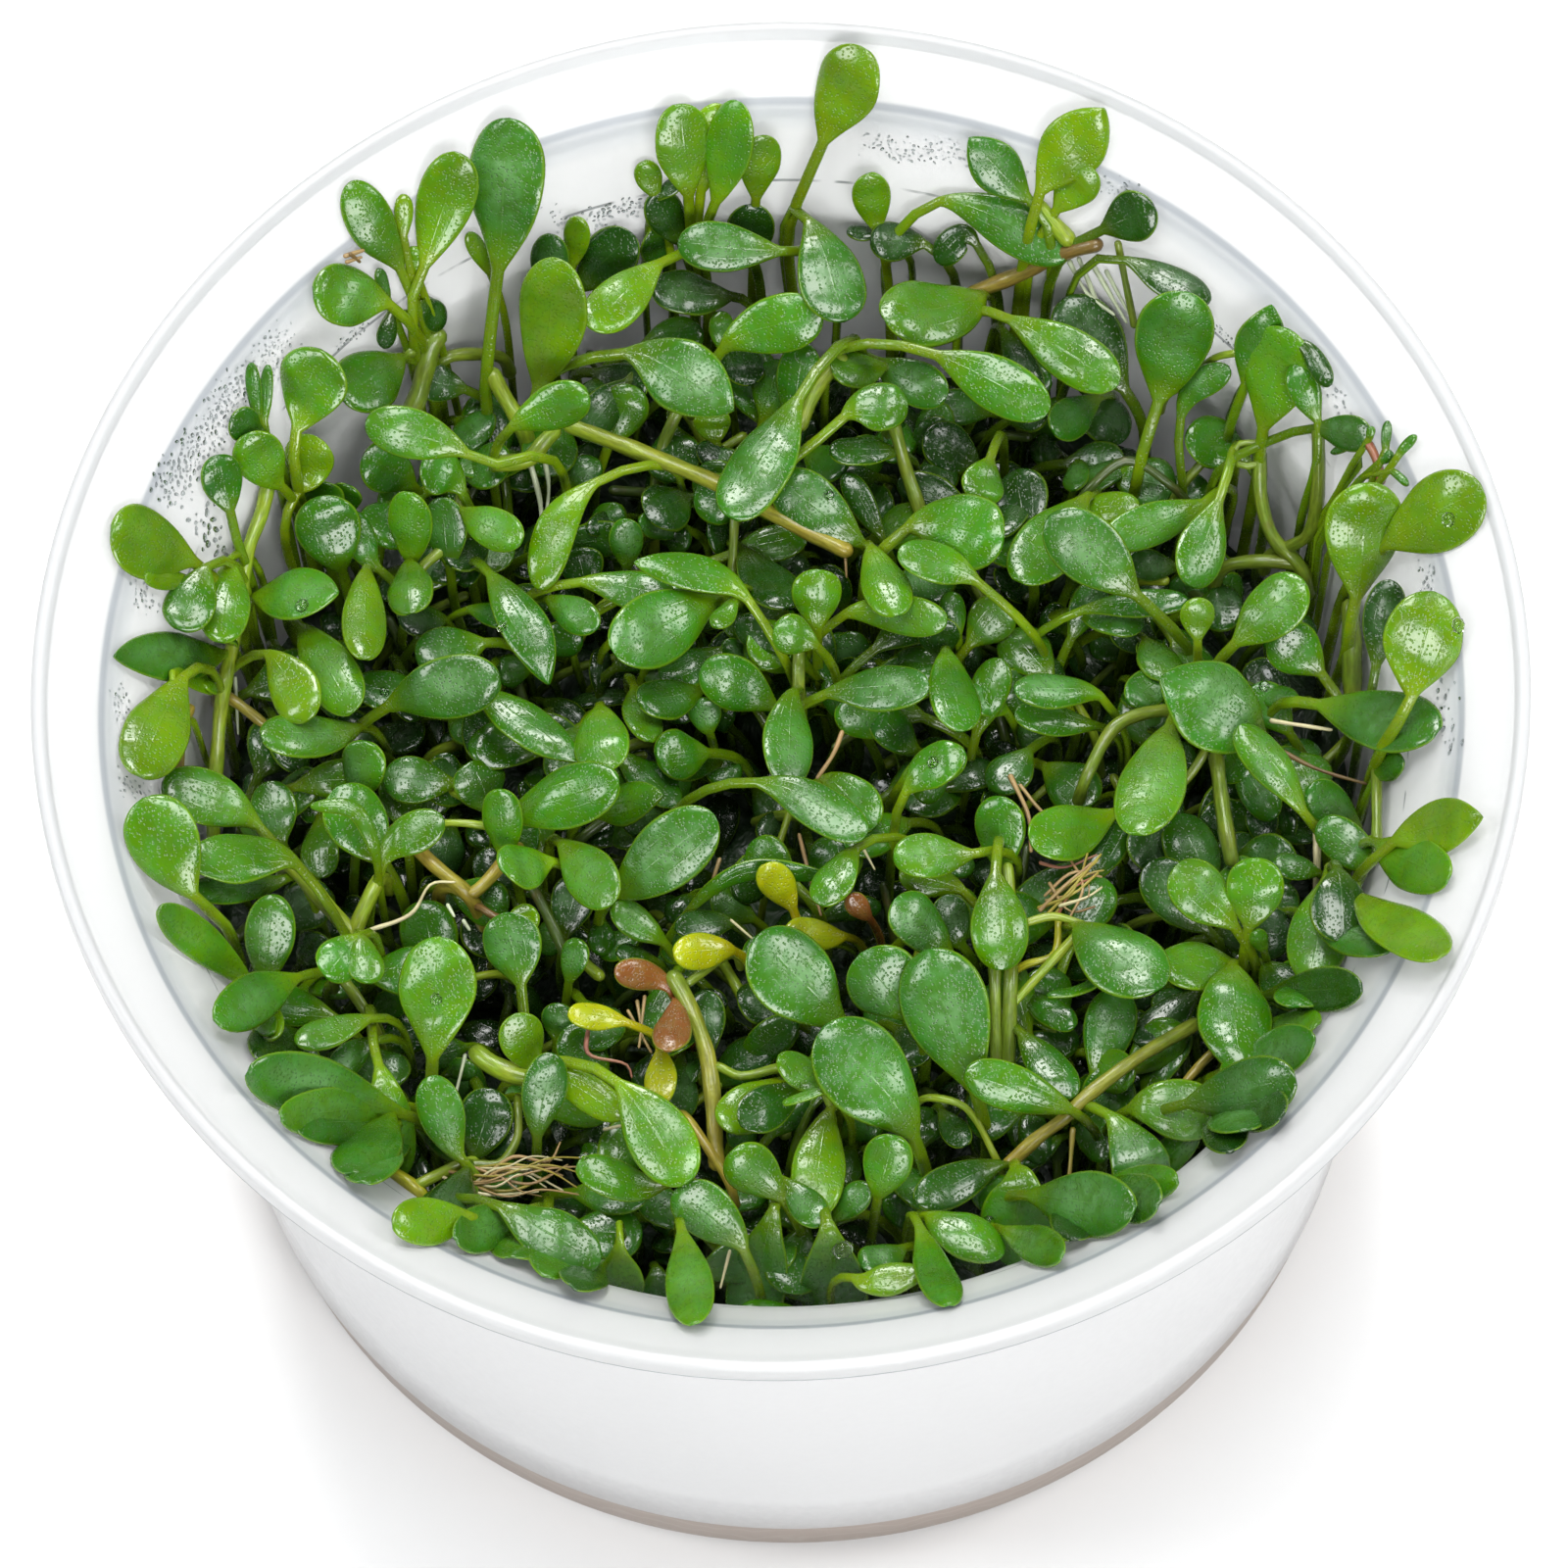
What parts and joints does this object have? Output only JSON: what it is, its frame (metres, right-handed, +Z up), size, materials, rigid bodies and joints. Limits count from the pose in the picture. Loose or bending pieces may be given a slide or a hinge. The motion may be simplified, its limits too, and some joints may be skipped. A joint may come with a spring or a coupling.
{
  "type": "cultured aquarium plant in a cup",
  "caption": "Small creeping aquarium plant with spoon-shaped leaves, grown as a dense mat on gel in a low, open, frosted plastic culture cup with a plain white wrap",
  "frame": {"origin": "centre of the flat base of the cup, on the surface it stands on", "axes": "+Z up out of the mouth, -Y towards the near side of the cup in the picture, +X to the right"},
  "size_m": [0.1008, 0.1008, 0.06],
  "materials": {
    "cup_plastic": "frosted clear moulded plastic",
    "label_film": "plain white film wrap",
    "gel": "cloudy moist gel",
    "mat_green": "tangle of small wet leaves and stems",
    "leaf_green": "waxy wet leaf",
    "stem_green": "smooth wet stem"
  },
  "bodies": {
    "root": {"cup_bowl": "cup_plastic", "cup_rim": "cup_plastic", "label_sleeve": "label_film", "gel_medium": "gel", "leaf_mat": "mat_green", "leaf_c1": "leaf_green", "leaf_b1": "leaf_green", "leaf_d18": "leaf_green", "leaf_c8": "leaf_green", "leaf_a1": "leaf_green", "leaf_l3": "leaf_green", "leaf_h14": "leaf_green", "leaf_b11": "leaf_green", "leaf_i32": "leaf_green", "leaf_b10": "leaf_green", "leaf_i41": "leaf_green", "leaf_e6": "leaf_green", "leaf_o5": "leaf_green", "leaf_c10": "leaf_green", "leaf_b13": "leaf_green", "leaf_c23": "leaf_green", "leaf_e25": "leaf_green", "leaf_a3": "leaf_green", "leaf_h12": "leaf_green", "leaf_d8": "leaf_green", "leaf_b3": "leaf_green", "leaf_h9": "leaf_green", "leaf_d4": "leaf_green", "leaf_h8": "leaf_green", "leaf_i19": "leaf_green", "leaf_i3": "leaf_green", "leaf_e26": "leaf_green", "leaf_a8": "leaf_green", "leaf_a10": "leaf_green", "leaf_k14": "leaf_green", "leaf_a9": "leaf_green", "leaf_b9": "leaf_green", "leaf_b18": "leaf_green", "leaf_i1": "leaf_green", "leaf_j6": "leaf_green", "leaf_k13": "leaf_green", "leaf_g24": "leaf_green", "leaf_h5": "leaf_green", "leaf_j21": "leaf_green", "leaf_l9": "leaf_green", "leaf_c6": "leaf_green", "leaf_i7": "leaf_green", "leaf_j1": "leaf_green", "leaf_f10": "leaf_green", "runner_centre_left": "stem_green", "runner_node_bundle": "stem_green", "shoot_near_left": "stem_green", "runner_near_centre": "stem_green", "runner_near_right": "stem_green", "stem_right": "stem_green"}
  },
  "joints": []
}
